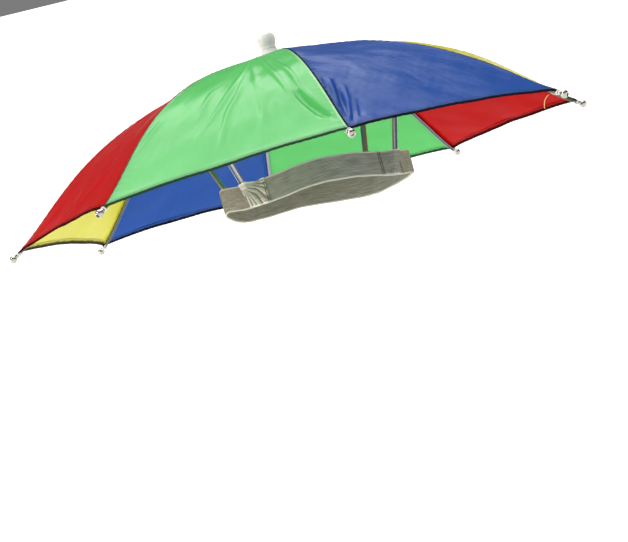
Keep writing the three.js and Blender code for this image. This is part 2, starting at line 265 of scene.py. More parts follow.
def turned(radius, height, centre=(0, 0, 0), direction=(0, 0, 1), sides=48, swell=None):
    """Body of revolution: rings of the outline's radii, at its heights along a direction from centre.
    swell(angle, ring) is added to the radius."""
    direction = unit(np.array(direction, float))
    aside = unit(np.cross(direction, [0, 0, 1] if abs(direction[2]) < 0.9 else [1, 0, 0]))
    other = np.cross(direction, aside)
    angle = full_turn(sides)[None, :]
    radius, height = np.asarray(radius, float)[:, None], np.asarray(height, float)[:, None]
    if swell is not None:
        radius = radius + swell(angle, np.arange(len(radius))[:, None])
    ring = np.cos(angle)[..., None] * aside + np.sin(angle)[..., None] * other
    return tube_body(np.array(centre) + radius[..., None] * ring + height[..., None] * direction)


def carried(outline, centres, across, back):
    """A closed outline carried along a path: each of its points is centre + x across + y back."""
    across, back = (np.broadcast_to(v, centres.shape)[:, None, :] for v in (across, back))
    x, y = outline[None, :, 0, None], outline[None, :, 1, None]
    return tube_body(centres[:, None, :] + x * across + y * back)


def cord_body(line, radius, sides=8):
    """A round tube along a line: circles square to it, held upright by the direction most unlike it."""
    line = np.asarray(line, float)
    along = unit(np.gradient(line, axis=0))
    axis = np.eye(3)[np.abs(along).mean(0).argmin()]
    aside = unit(np.cross(along, axis))
    angle = full_turn(sides)
    return carried(circle(angle) * radius, line, aside, np.cross(along, aside))


def stitch_bodies(centres, along, aside, length, radius):
    """Many short stitches: each a six-sided rod whose rings swell as a half ellipse, flat on its base."""
    place = np.linspace(-1, 1, 5)
    swell = np.sqrt(np.maximum(1 - place**2, 0.12))
    angle = full_turn(6)
    normal = np.cross(along, aside)
    rings = (
        centres[:, None, None]
        + (place * length / 2)[None, :, None, None] * along[:, None, None]
        + (swell[:, None] * np.cos(angle) * radius)[None, ..., None] * aside[:, None, None]
        + (swell[:, None] * np.sin(angle) * radius * 0.6)[None, ..., None] * normal[:, None, None]
    )
    points, faces = tube_body(rings[0])
    caps = np.concatenate([rings[:, :1].mean(2), rings[:, -1:].mean(2)], 1)
    all_points = np.concatenate([rings.reshape(len(rings), -1, 3), caps], 1)
    counted = faces[None] + (np.arange(len(rings)) * len(points))[:, None, None]
    return all_points.reshape(-1, 3), counted.reshape(-1, 4)


def eased(value, low, high):
    """0 below low, 1 above high, and 3t^2 - 2t^3 in between."""
    t = np.clip((value - low) / (high - low), 0, 1)
    return t * t * (3 - 2 * t)


# ---------------------------------------------------------------- the canopy's shape


def outward(angle):
    angle = np.asarray(angle, float)
    return np.stack([np.sin(angle), -np.cos(angle), np.zeros_like(angle)], -1)


def across(angle):
    angle = np.asarray(angle, float)
    return np.stack([np.cos(angle), np.sin(angle), np.zeros_like(angle)], -1)


def panel_colour(number):
    return PANEL_COLOURS[(number - 1) % len(PANEL_COLOURS)]


def rib_table():
    """Length, radius, height and the unit normal along a rib's middle line. The line is a cubic curve with
    four controls: level out from the axis to the shoulder, then over the flank to the tip."""
    rise = CANOPY_RISE - CLOTH_WALL - GAP - RIB["depth"] / 2
    out = np.array([0, SHOULDER_OUT, FLANK_OUT, 1]) * TIP_RADIUS
    up = RIM_HEIGHT + np.array([1, SHOULDER_UP, FLANK_UP, 0]) * rise
    t = np.linspace(0, 1, 3001)[:, None]
    weights = np.hstack([(1 - t) ** 3, 3 * (1 - t) ** 2 * t, 3 * (1 - t) * t**2, t**3])
    line = np.stack([weights @ out, weights @ up], -1)
    length = np.concatenate([[0], np.cumsum(np.linalg.norm(np.diff(line, axis=0), axis=1))])
    along = unit(np.gradient(line, axis=0))
    return length, np.column_stack([line, -along[:, 1], along[:, 0]])


RIB_LENGTHS, RIB_ROWS = rib_table()
RIB_LENGTH = RIB_LENGTHS[-1]
HEM_LENGTH = RIB_LENGTH - TIP_STEM_LENGTH - GAP
CLOTH_LIFT = RIB["depth"] / 2 + GAP + CLOTH_WALL


# How far each rib is bent from the common line, in millimetres: at its tip, and by its outer and inner
# halves. The hem's scallop and the slack of a panel differ a little from panel to panel too.
RIB_BENDS = (
    (-2.9, -2.8, -2.7), (-0.7, 4.4, 0.3), (-0.5, 0.2, 0), (3.6, 0.3, 0),
    (-2.1, 0.5, 0), (-0.3, 3.1, -3.6), (2.3, 2.8, -0.6), (4.2, -2.1, 1.6),
)
HEM_SCALLOPS = (6, 4.3, 6, 8.7, 6, 6, 4.4, 7.2)
PANEL_SAGS = (1, 1, 1, 1, 1, 1.4, 0.3, 1.2)
CORNER_REACH = 1.5 * MM


def rib_bend(index, length):
    """Upward bend of a rib: a cube of the length for its tip, and two squared sine waves for its halves."""
    tip, outer, inner = RIB_BENDS[index % RIB_COUNT]
    share = np.clip(length / RIB_LENGTH, 0, 1)
    halves = outer * np.sin(np.pi * share**1.4) ** 2 + inner * np.sin(np.pi * share**0.75) ** 2
    return (tip * share**3 + halves) * MM


def beside_rib(length, lift=0.0):
    """Radius, height and normal at a length along the rib, moved by lift square to its line."""
    radius, height, out, up = (np.interp(length, RIB_LENGTHS, column) for column in RIB_ROWS.T)
    return radius + lift * out, height + lift * up, out, up


def rib_angle(index):
    return 2 * math.pi * index / RIB_COUNT


def in_rib_plane(angle, radius, height):
    place = outward(angle) * np.asarray(radius)[..., None]
    place[..., 2] += height
    return place


def rings_round_axis(radii, heights, sides):
    """A grid of points: a level ring round the canopy's axis for each radius and height."""
    angle = full_turn(sides)
    return in_rib_plane(angle[None], np.array(radii)[:, None], np.array(heights)[:, None])


def on_rib(index, length, lift=0.0):
    """A point beside a rib at a length along it, and the direction in which it is lifted."""
    radius, height, out, up = beside_rib(length, lift)
    place = in_rib_plane(rib_angle(index), radius, height + rib_bend(index, length))
    return place, in_rib_plane(rib_angle(index), out, up)


def hem_length(index, side):
    """Length along the rib's line at which a panel ends. It is shorter by the scallop between two tips,
    and its corners reach out along the tips' stems."""
    scallop = HEM_SCALLOPS[index % RIB_COUNT] * MM
    return HEM_LENGTH - scallop * (1 - side**2) + CORNER_REACH * np.abs(side) ** 14


def length_at(index, side, down):
    """Length along the rib's line, at a share of the way down from the neck to the hem."""
    return NECK_HOLE_RADIUS + down * (hem_length(index, side) - NECK_HOLE_RADIUS)


def half_chord(length):
    return beside_rib(length, CLOTH_LIFT)[0] * math.sin(HALF_PANEL)


def cloth_point(index, side, length, lift):
    """A point of a panel. It is straight across between two ribs, at side from -1 to 1, sinks a little in
    between, and is raised by lift from the cloth's outer face in the plane of the axis."""
    middle = rib_angle(index) + HALF_PANEL
    radius, height, out, up = beside_rib(length, CLOTH_LIFT)
    place = outward(middle) * (radius * math.cos(HALF_PANEL))[..., None]
    place = place + across(middle) * (side * radius * math.sin(HALF_PANEL))[..., None]
    down = np.clip((length - NECK_HOLE_RADIUS) / (hem_length(index, side) - NECK_HOLE_RADIUS), 0, 1)
    sag = PANEL_SAGS[index % RIB_COUNT] * MM * (1 - side**2) * np.sin(np.pi * down) ** 2
    level = unit(place)
    share = (1 + np.clip(side, -1, 1)) / 2
    bend = rib_bend(index, length) * (1 - share) + rib_bend(index + 1, length) * share
    place[..., 2] += height + bend
    wall = level * out[..., None]
    wall[..., 2] += up
    return place + wall * (lift - sag)[..., None]


# Creases of the cloth: height and width in millimetres, then points as shares of the half panel across
# and of the way down from the neck to the hem. A negative height is a hollow.
GREEN_CREASES = (
    (0.55, 2.4, ((0.1, 0.2), (0.18, 0.35), (0.29, 0.54), (0.33, 0.62), (0.39, 0.67))),
    (0.4, 2.2, ((0.34, 0.7), (0.36, 0.76), (0.35, 0.84))),
    (1.0, 2.6, ((0.2, 0.2), (0.31, 0.35), (0.51, 0.51), (0.62, 0.64), (0.69, 0.74), (0.75, 0.8),
                (0.86, 0.87))),
    (1.0, 2.4, ((0.4, 0.28), (0.64, 0.48), (0.74, 0.57), (0.78, 0.63), (0.81, 0.72), (0.87, 0.8),
                (0.94, 0.88))),
    (-2.2, 4.0, ((0.73, 0.72), (0.78, 0.79), (0.85, 0.855), (0.91, 0.905))),
    (-0.5, 2.2, ((0.5, 0.76), (0.55, 0.85))),
    (-0.8, 1.8, ((0.88, 0.87), (0.96, 0.93))),
    (0.5, 2.4, ((0.14, 0.3), (0.06, 0.52), (-0.11, 0.68), (-0.29, 0.82))),
    (0.5, 2.4, ((0.16, 0.45), (0.09, 0.63), (0.0, 0.72), (-0.04, 0.84), (-0.05, 0.94))),
    (0.4, 2.6, ((0.3, 0.6), (0.38, 0.78), (0.32, 0.9))),
    (0.35, 2.4, ((-0.84, 0.66), (-0.88, 0.72), (-0.93, 0.8))),
    (0.4, 2.6, ((-0.26, 0.56), (-0.31, 0.62), (-0.37, 0.74))),
)
BLUE_CREASES = (
    (-0.9, 2.0, ((-0.92, 0.68), (-0.935, 0.78), (-0.95, 0.86))),
    (-1.0, 2.2, ((-0.8, 0.71), (-0.88, 0.81), (-0.95, 0.89))),
    (-1.3, 2.8, ((-0.84, 0.77), (-0.89, 0.86), (-0.94, 0.93))),
    (-0.7, 2.2, ((-0.81, 0.86), (-0.92, 0.97))),
    (-0.5, 2.2, ((-0.72, 0.85), (-0.83, 0.96))),
    (0.7, 2.2, ((-0.86, 0.7), (-0.91, 0.79), (-0.945, 0.87))),
    (0.6, 2.2, ((-0.76, 0.76), (-0.86, 0.87), (-0.93, 0.95))),
    (-0.06, 3.0, ((0.06, 0.74), (0.04, 0.82), (0.03, 0.92))),
    (-0.06, 3.0, ((0.48, 0.75), (0.6, 0.85))),
    (0.05, 3.0, ((-0.3, 0.4), (-0.36, 0.6), (-0.4, 0.8))),
)
PLACED_CREASES = {7: GREEN_CREASES, 8: BLUE_CREASES}
CREASE_DEPTHS = {7: 1.9, 8: 2.3}  # times the heights above
OTHER_CREASE_DEPTH = 1.2


def drawn_creases(chance, count=9):
    """Creases for a panel that has none placed: they fan out from the neck and fade towards the hem."""
    creases = []
    for _ in range(count):
        start, reach = chance.uniform(0.15, 0.5), chance.uniform(0.2, 0.42)
        side = chance.uniform(-0.75, 0.75)
        drift = side * 0.25 + chance.normal(0, 0.08)
        height = chance.uniform(0.2, 0.5) * chance.choice([1, 1, -1])
        path = [(side + drift * t, start + reach * t) for t in (0, 0.5, 1)]
        creases.append((height, chance.uniform(2.2, 3.6), path))
    return creases


def crease_lift(side, down, chord, creases):
    """Lift of the cloth by its creases. Each is a bell curve of the distance to the nearest stretch of its
    path, and its height rises and falls as a half sine along it. Distances are measured on the cloth."""
    lift = np.zeros_like(side)
    run = HEM_LENGTH - NECK_HOLE_RADIUS
    for height, width, path in creases:
        line = smooth_line(path, 16)
        nearest = np.full(side.shape, 1.0)
        share = np.zeros_like(side)
        for i, (start, step) in enumerate(zip(line, np.diff(line, axis=0))):
            x, y = (side - start[0]) * chord, (down - start[1]) * run
            step_x, step_y = step[0] * chord, step[1] * run
            t = np.clip((x * step_x + y * step_y) / (step_x**2 + step_y**2), 0, 1)
            distance = np.hypot(x - t * step_x, y - t * step_y)
            closer = distance < nearest
            nearest = np.where(closer, distance, nearest)
            share = np.where(closer, (i + t) / (len(line) - 1), share)
        taper = np.sin(np.pi * share) ** 0.7
        lift += height * MM * taper * np.exp(-((nearest / (width * MM)) ** 2))
    return lift


RIPPLES = ((70, 0.16, 6), (28, 0.05, 8), (9, 0.012, 10))  # wave length and height in millimetres, count


def ripple_lift(side, length, chord, chance):
    """Slow unevenness of stretched cloth: a sum of sine waves in drawn directions, long ones and short."""
    x = side * chord
    lift = np.zeros_like(side)
    for wave, height, count in RIPPLES:
        for _ in range(count):
            turn, phase = chance.uniform(0, 2 * np.pi, 2)
            size = wave * MM * chance.uniform(0.75, 1.3)
            lift += height * MM * np.sin(
                2 * np.pi * (x * math.cos(turn) + length * math.sin(turn)) / size + phase
            )
    return lift


SEAM_DROP = 0.5 * MM
SEAM_ROUND = 1.6 * MM
CLOTH_THICKNESS = 0.3 * MM
HEM_ROLL = 0.6 * MM
HEM_TURN = 6 * MM
STITCH_ROW = 4.5 * MM  # from the hem
PUCKER_PITCH = 7.5 * MM
PUCKER_HEIGHTS = {7: 0.3, 8: 0.5}  # in millimetres
OTHER_PUCKER_HEIGHT = 0.22


def pucker_wave(to_seam, length, side, chance):
    """Puckers of the sewing: waves along a seam, of drawn strength, that die away from it within 9 mm."""
    wander = np.interp(length, np.linspace(0, RIB_LENGTH, 12), np.cumsum(chance.uniform(-1.3, 1.3, 12)))
    strength = np.interp(length, np.linspace(0, RIB_LENGTH, 16), chance.uniform(0.15, 1.0, 16))
    slant = 2.2 * to_seam / PUCKER_PITCH * np.sign(side)
    wave = np.sin(2 * np.pi * (length / PUCKER_PITCH) + wander + slant)
    return strength * wave * np.exp(-to_seam / (7 * MM)) * eased(to_seam, 0, 2 * MM)


COLUMNS, ROWS, TURN_ROWS = 121, 168, 16
TURN_ROW_STEP = -0.2 * MM  # on the flat cloth, short so that the turned rows keep the hem's painted shade


def panel_grid(number):
    """Outer face of a panel, as a grid. Columns crowd towards the two seams. Rows run from the neck to the
    hem, round the hem's small roll and back up its turned edge."""
    index = number - 1
    chance = np.random.default_rng(40 + number)
    t = np.linspace(-1, 1, COLUMNS)
    side_row = 1.12 * t - 0.12 * t**9
    down = np.linspace(0, 1, ROWS)
    side, down = np.meshgrid(side_row, down)
    length = length_at(index, side, down)
    chord = half_chord(length)
    to_near, to_far = (1 + side) * chord, (1 - side) * chord
    to_seam = np.minimum(to_near, to_far)
    to_hem = (1 - down) * (HEM_LENGTH - NECK_HOLE_RADIUS)
    creases = PLACED_CREASES.get(number) or drawn_creases(chance)
    lift = CREASE_DEPTHS.get(number, OTHER_CREASE_DEPTH) * crease_lift(side, down, chord, creases)
    lift += ripple_lift(side, length, chord, chance)
    lift *= eased(to_seam, 0, 5 * MM) * eased(down, 0.03, 0.12)
    lift += PUCKER_HEIGHTS.get(number, OTHER_PUCKER_HEIGHT) * MM * pucker_wave(to_seam, length, side, chance)
    hem_wave = np.sin(2 * np.pi * side * chord / (5.5 * MM) + 1.5 * np.sin(side * 23 + number))
    lift += 0.14 * MM * hem_wave * np.exp(-to_hem / (4 * MM))
    lift -= SEAM_DROP * (1 - eased(to_seam, 0, SEAM_ROUND))
    outer = cloth_point(index, side, length, lift)

    turn = np.linspace(0, np.pi, 7)[1:]
    back = np.linspace(0, HEM_TURN, TURN_ROWS - 6 + 1)[1:]
    flat_turn = np.concatenate([HEM_ROLL * np.sin(turn), -back])
    closing = (2 * HEM_ROLL - 2.2 * CLOTH_THICKNESS) * eased(back, 0, 3 * MM)
    turn_lift = np.concatenate([-HEM_ROLL * (1 - np.cos(turn)), closing - 2 * HEM_ROLL])
    turn_length = hem_length(index, side[-1])[None] + flat_turn[:, None]
    turned_side = np.broadcast_to(side[-1], turn_length.shape)
    under = cloth_point(index, turned_side, turn_length, lift[-1][None] + turn_lift[:, None])
    outer = np.concatenate([outer, under])
    turned_chord = half_chord(turn_length)
    flat_x = np.concatenate([side * chord, turned_side * turned_chord])
    past_hem = TURN_ROW_STEP * np.arange(1, TURN_ROWS + 1)[:, None]
    flat_y = np.concatenate([to_hem, np.repeat(past_hem, COLUMNS, 1)])
    near = np.concatenate([to_near, (1 + turned_side) * turned_chord])
    far = np.concatenate([to_far, (1 - turned_side) * turned_chord])
    return outer, flat_x, flat_y, near, far


def both_faces(values):
    return np.concatenate([values.reshape(-1), values.reshape(-1)])


def panel(number, material):
    """A gore of thin cloth: the grid of its outer face, and the same moved in along its own normals."""
    outer, flat_x, flat_y, near, far = panel_grid(number)
    normals = grid_normals(outer)
    centre = outer[ROWS // 2, COLUMNS // 2]
    if normals[ROWS // 2, COLUMNS // 2] @ centre < 0:
        normals = -normals
    body = sheet_body(outer, outer - CLOTH_THICKNESS * normals)
    colour = panel_colour(number)
    marks = dict(zip(EDGE_MARKS, map(both_faces, (np.abs(flat_y), near, far))))
    return piece(
        f"canopy_panel_{number}_{colour}", body, material,
        replaces=[f"panel_{number}_{colour}"],
        uv=np.column_stack([both_faces(flat_x), both_faces(flat_y)]), marks=marks, sharp=80,
    )


def edging(name, body, material):
    """A piece of panel number's cloth whose points are marked as far from every hem and seam."""
    points = body[0]
    marks = {mark: np.full(len(points), 0.05) for mark in EDGE_MARKS}
    return piece(name, body, material, uv=points[:, :2], marks=marks)


def seam_fold(number, material):
    """The seam's two sewn edges, turned to one side under the cloth beside rib number: a flat strip."""
    index = number - 1
    length = np.linspace(NECK_HOLE_RADIUS + 8 * MM, HEM_LENGTH - 3 * MM, 120)
    chord = half_chord(length)
    width, thick = 4.6 * MM, 0.45 * MM
    wave = 0.12 * MM * np.sin(2 * np.pi * length / PUCKER_PITCH + number)
    level = np.full_like(length, -CLOTH_THICKNESS - thick / 2 - 0.1 * MM) + wave
    inner_side, outer_side = (-1 + offset / chord for offset in (0.2 * MM, 0.2 * MM + width))
    near = cloth_point(index, inner_side, length, level - 0.15 * MM)
    far = cloth_point(index, outer_side, length, level)
    over = unit(far - near)
    up = unit(np.cross(over, np.gradient(near, axis=0)))
    turn = full_turn(16)
    outline = np.stack([signed_power(np.cos(turn), 0.3) * width / 2,
                        signed_power(np.sin(turn), 0.5) * thick / 2], -1)
    return edging(f"seam_fold_{number}", carried(outline, (near + far) / 2, over, up), material)


def hem_stitching(number, material):
    """A row of stitches a little above the hem, on the cloth's outer face."""
    index = number - 1
    reach = half_chord(HEM_LENGTH)
    place = np.arange(-reach + 5 * MM, reach - 5 * MM, 3.2 * MM)
    side = place / reach
    length = hem_length(index, side) - STITCH_ROW
    lift = np.full_like(side, 0.05 * MM)
    centres = cloth_point(index, side, length, lift)
    beside = side + 0.01
    along = unit(cloth_point(index, beside, hem_length(index, beside) - STITCH_ROW, lift) - centres)
    up = cloth_point(index, side, length, lift + MM) - centres
    body = stitch_bodies(centres, along, unit(np.cross(up, along)), 2.2 * MM, 0.13 * MM)
    return edging(f"hem_stitching_{number}", body, material)


# ---------------------------------------------------------------- the frame


def channel_outline(width, depth, wall):
    """Closed outline of a folded strip: up one side, over the back with round corners, down the other,
    then back along the inner faces. x is across and y towards the back."""
    side, top, rounding = width / 2, depth / 2, min(0.55 * MM, depth / 3)
    turn = np.linspace(0, np.pi / 2, 5)
    outer = np.vstack([[side, -top], [side - rounding, top - rounding] + rounding * circle(turn)])
    small, within = max(rounding - wall, 0.08 * MM), side - wall
    inner = np.vstack([[within, -top], [within - small, top - wall - small] + small * circle(turn)])
    flip = np.array([-1, 1])
    return np.vstack([outer, (outer * flip)[::-1], inner * flip, inner[::-1]])


def straight(start, end, count=12):
    t = np.linspace(0, 1, count)[:, None]
    return start + (end - start) * t


def rib(number, material):
    """The rib's channel along its curve, from the hub to the tip's stem."""
    angle = rib_angle(number - 1)
    start = np.interp(HUB_NOTCH_ROOT + GAP, RIB_ROWS[:, 0], RIB_LENGTHS)
    centres, back = on_rib(number - 1, np.linspace(start, HEM_LENGTH, 90))
    body = carried(channel_outline(**RIB), centres, across(angle), back)
    return piece(f"rib_channel_{number}", body, material, replaces=[f"rib_{number}"])


def rib_end(number):
    """Centre of a rib tip's ball and the direction in which the rib arrives there."""
    centre, before = (on_rib(number - 1, RIB_LENGTH - back)[0] for back in (0, TIP_STEM_LENGTH))
    return centre, unit(centre - before)


SEWING_HOLLOW = {"back": 5.7 * MM, "width": 0.62 * MM, "depth": 0.9 * MM}  # back from the ball's centre


def rib_tip(number, material):
    """A turned ball on a stem: the stem with a collar and a sewing hollow, the ball, and its end hole."""
    centre, direction = rib_end(number)
    stem = TIP_STEM_RADIUS
    first = math.asin(stem / BALL_RADIUS)
    last = math.pi - math.asin(BALL_HOLE_RADIUS * 1.12 / BALL_RADIUS)
    turn = np.linspace(first, last, 15)
    mouth = math.sqrt(BALL_RADIUS**2 - BALL_HOLE_RADIUS**2)
    heights = [-TIP_STEM_LENGTH, -TIP_STEM_LENGTH + 0.3 * MM, *np.linspace(-7.2, -4.2, 10) * MM, -3.4 * MM]
    radii = [stem * 0.8, stem, *np.full(10, stem * 0.98), stem]
    heights += [*(-BALL_RADIUS * np.cos(turn)), mouth * 0.985, mouth - 0.4 * MM, mouth - BALL_HOLE_DEPTH]
    radii += [*(BALL_RADIUS * np.sin(turn)), *(BALL_HOLE_RADIUS * np.array([1, 0.94, 0.9]))]

    def sewing_hollow(angle, ring):
        along = (np.array(heights)[ring] + SEWING_HOLLOW["back"]) / SEWING_HOLLOW["width"]
        around = np.abs(np.sin(angle)) * stem / SEWING_HOLLOW["width"]
        return -SEWING_HOLLOW["depth"] * np.exp(-(along**2) - around**2)

    body = turned(radii, heights, centre, direction, 28, sewing_hollow)
    return piece(f"tip_ball_{number}", body, material, replaces=[f"rib_tip_{number}"])


THREAD_TAIL = ((6.6, 1.2, 1.7), (8.4, 2.4, 2.0), (10.6, 2.8, 1.3))  # millimetres back, aside and up


def tip_thread(number, material):
    """Thread that ties the cloth to the stem: two and a half turns round it and a tail to each panel."""
    centre, direction = rib_end(number)
    angle = rib_angle(number - 1)
    over = across(angle)
    up = np.cross(over, direction)
    t = np.linspace(0, 1, 60)
    turn = 2 * np.pi * (2.5 * t - 0.25)
    radius = TIP_STEM_RADIUS + 0.28 * MM
    wind = centre + direction * ((-6.9 + 1.5 * t) * MM)[:, None]
    wind = wind + (over * np.cos(turn)[:, None] + up * np.sin(turn)[:, None]) * radius
    bodies = [cord_body(wind, 0.26 * MM, 6)]
    for hand in (-1, 1):
        tail = [centre - direction * back * MM + over * hand * aside * MM + up * high * MM
                for back, aside, high in THREAD_TAIL]
        bodies.append(cord_body(smooth_line(tail, 12), 0.24 * MM, 6))
    return piece(f"tip_thread_{number}", joined(bodies), material)


CLOTH_OVER_HUB = float(beside_rib(HUB_RADIUS / math.cos(HALF_PANEL), RIB["depth"] / 2 + GAP)[1])
HUB_TOP = CLOTH_OVER_HUB - GAP
HUB_BOTTOM = HUB_TOP - HUB_HEIGHT
RUNNER_BOTTOM = HUB_BOTTOM - RUNNER_DROP
RUNNER_TOP = RUNNER_BOTTOM + RUNNER_HEIGHT
JOINT_LENGTH = np.interp(JOINT_RADIUS, RIB_ROWS[:, 0], RIB_LENGTHS)
STRETCHER_LIFT = -RIB["depth"] / 2 - GAP - STRETCHER["depth"] / 2


def stretcher(number, material):
    """A straight channel from the runner to its joint under the rib."""
    angle = rib_angle(number - 1)
    root = in_rib_plane(angle, HUB_NOTCH_ROOT + GAP, RUNNER_TOP - STRETCHER["depth"] / 2)
    end = on_rib(number - 1, JOINT_LENGTH, STRETCHER_LIFT)[0]
    back = np.cross(across(angle), unit(end - root))
    if back[2] < 0:
        back = -back
    body = carried(channel_outline(**STRETCHER), straight(root, end), across(angle), back)
    return piece(f"stretcher_channel_{number}", body, material,
                 replaces=[f"stretcher_{number}"])


def on_band(angle, offset, height):
    """A point of the headband: angle round it, offset from its outer face, height from its mid height.
    The band is an ellipse ahead of the axis. Its plane falls a little to the left and the front, and a
    cosine dips it at the four legs."""
    x = (BAND_HALF_WIDTH + offset) * np.sin(angle)
    y = -BAND_FORWARD - (BAND_HALF_LENGTH + offset) * np.cos(angle)
    askew = BAND_FALL_FRONT * y - BAND_FALL_LEFT * x
    return np.stack([x, y, height + askew - BAND_DIP * np.cos(len(LEGS) * angle)], -1)


FOOT_HEIGHT = FOOT_MARGIN - BAND_HEIGHT / 2


def leg_line(side):
    """A leg's two ends and the angle round the band at its foot. The foot is where the leg's own plane
    meets the ellipse, by the larger root of a quadratic, and then a little aside."""
    index = LEGS.index(side) * RIB_COUNT // len(LEGS)
    x, y, _ = outward(rib_angle(index))
    square = (x / BAND_HALF_WIDTH) ** 2 + (y / BAND_HALF_LENGTH) ** 2
    half = y * BAND_FORWARD / BAND_HALF_LENGTH**2
    reach = (math.sqrt(half**2 - square * ((BAND_FORWARD / BAND_HALF_LENGTH) ** 2 - 1)) - half) / square
    toward = math.atan2(reach * x / BAND_HALF_WIDTH, -(reach * y + BAND_FORWARD) / BAND_HALF_LENGTH)
    foot_angle = toward + side["foot_aside"] * MM / BAND_HALF_WIDTH
    head = on_rib(index, JOINT_LENGTH, STRETCHER_LIFT - STRETCHER["depth"] / 2 - GAP - LEG["depth"] / 2)[0]
    foot = on_band(np.float64(foot_angle), GAP + LEG["depth"] / 2, FOOT_HEIGHT)
    return head, foot, foot_angle, rib_angle(index)


def leg(side, material):
    """A wider channel from the rib's joint to the headband, its open side out. It twists from square to
    the rib to flat on the band."""
    head, foot, foot_angle, head_angle = leg_line(side)
    centres = straight(head, foot, 16)
    along = unit(foot - head)
    twist = math.remainder(foot_angle - head_angle, math.tau)
    over = -across(np.linspace(head_angle, head_angle + twist, 16))
    over = unit(over - (over @ along)[:, None] * along)
    name = side["name"]
    body = carried(channel_outline(**LEG), centres, over, np.cross(along, over))
    return piece(f"leg_channel_{name}", body, material, replaces=[f"leg_{name}"])


PLATE_GAP, PLATE_THICKNESS, PLATE_RADIUS = 0.15 * MM, 0.5 * MM, 1.6 * MM
RIVET_RADII = np.array([0.7, 1.05, 1.2, 1.2, 0.75]) * MM
RIVET_STEPS = np.array([0.5, 0.42, 0.2, 0, -0.05]) * MM  # past the plate's outer face


def joint_plates(number, has_leg, material):
    """The joint under a rib: a round-ended plate on either side, and a rivet through rib, stretcher and
    leg. Each plate's outline is a stadium, and a rivet's head is a flattened dome."""
    over = across(rib_angle(number - 1))
    normal = on_rib(number - 1, JOINT_LENGTH)[1]
    along = np.cross(over, normal)
    lifts = [0.0, STRETCHER_LIFT, STRETCHER_LIFT * 2][: 3 if has_leg else 2]
    reach = (LEG if has_leg else STRETCHER)["width"] / 2 + PLATE_GAP + PLATE_THICKNESS
    half_long = (lifts[0] - lifts[-1]) / 2 + 0.2 * MM
    turn = full_turn(32)
    outline = PLATE_RADIUS * circle(turn)
    outline[:, 1] += half_long * np.sign(np.sin(turn))
    middle = on_rib(number - 1, JOINT_LENGTH, (lifts[0] + lifts[-1]) / 2)[0]
    bodies = []
    for hand in (-1, 1):
        plate = middle + over * hand * np.linspace(reach - PLATE_THICKNESS, reach, 3)[:, None]
        bodies.append(carried(outline, plate, along, normal))
    step = reach + RIVET_STEPS
    for lift in lifts:
        centre = on_rib(number - 1, JOINT_LENGTH, lift)[0]
        radii, places = [*RIVET_RADII, *RIVET_RADII[::-1]], [*-step, *step[::-1]]
        bodies.append(turned(radii, places, centre, over, 16))
    return piece(f"joint_plates_{number}", joined(bodies), material)


# ---------------------------------------------------------------- headband and pockets

BAND_CORDS = 10
BAND_TURNS, BAND_PROFILE = 420, 96


def headband(material):
    """The elastic ring. Its section is a flat round-ended loop whose two faces swell in cords, as a
    rectified cosine, and whose edges are a little thicker. It is carried round the ellipse, and the edges
    waver by a slow sum of sines."""
    angle = full_turn(BAND_TURNS)[:, None]
    place = full_turn(BAND_PROFILE)[None, :]
    flat = signed_power(np.cos(place), 0.55)
    height = flat * BAND_HEIGHT / 2
    thin = signed_power(np.sin(place), 0.3)
    half = 0.62 * MM
    cords = np.abs(np.cos(np.pi * BAND_CORDS * (flat + 1) / 2)) ** 0.8
    edge = eased(np.abs(flat), 0.84, 0.95)
    swell = half + 0.2 * MM * cords * (1 - edge) + 0.24 * MM * edge
    waver = 0.25 * np.sin(5 * angle + 1) + 0.2 * np.sin(11 * angle) + 0.1 * np.sin(23 * angle + 2)
    offset = -BAND_WALL / 2 + thin * swell + 0.15 * MM * np.sin(9 * angle + 2) * flat
    rings = on_band(angle, offset, height + waver * MM * np.abs(flat))
    rows, columns = rings.shape[:2]
    faces = grid_faces(rows + 1, columns, True) % (rows * columns)
    points = rings.reshape(-1, 3)
    around = np.broadcast_to(angle * (BAND_HALF_WIDTH + BAND_HALF_LENGTH) / 2, rings.shape[:2])
    tall = np.broadcast_to(height, rings.shape[:2])
    return piece(
        "elastic_headband", (points, facing_out(points, faces)), material,
        replaces=["headband"], uv=np.column_stack([around.ravel(), tall.ravel()]),
        marks={"to_edge": (BAND_HEIGHT / 2 - np.abs(tall)).ravel()}, sharp=80,
    )


def pocket_place(side, aside, height, offset):
    """A point of a pocket: it lies on the band at its sides and rises over the leg, leaning out and aside
    with the leg."""
    head, foot, foot_angle, _ = leg_line(side)
    run = head - foot
    rise = run[2] + BAND_FALL_LEFT * run[0] - BAND_FALL_FRONT * run[1]
    lean_out, lean_aside = run @ outward(foot_angle) / rise, run @ across(foot_angle) / rise
    ridge = LEG["width"] / 2 + GAP
    raised = 1 - eased(np.abs(aside), ridge, ridge + 2.2 * POCKET_SLOPE)
    lift = LEG["depth"] + GAP + lean_out * (height - FOOT_HEIGHT)
    place = aside + raised * lean_aside * (height - FOOT_HEIGHT)
    return on_band(foot_angle + place / BAND_HALF_WIDTH, GAP + CLOTH_WALL + raised * lift + offset, height)


def pleats(side, aside, height):
    """Pleats that fan out from where the leg enters: ridges by the angle round that point, which start
    2 mm from it, grow outwards and wander a little."""
    x, y = aside, 9 * MM - height
    away = np.hypot(x, y)
    turn = np.degrees(np.arctan2(y, x))
    wander = 2.5 * np.sin(away / (4 * MM)) + 4 * np.sin(turn / 13)
    ridge = 0.5 + 0.5 * np.cos(2 * np.pi * (turn + wander) / 17)
    return side["gather"] * (ridge**1.4 - 0.4) * eased(away, 1.5 * MM, 6 * MM)


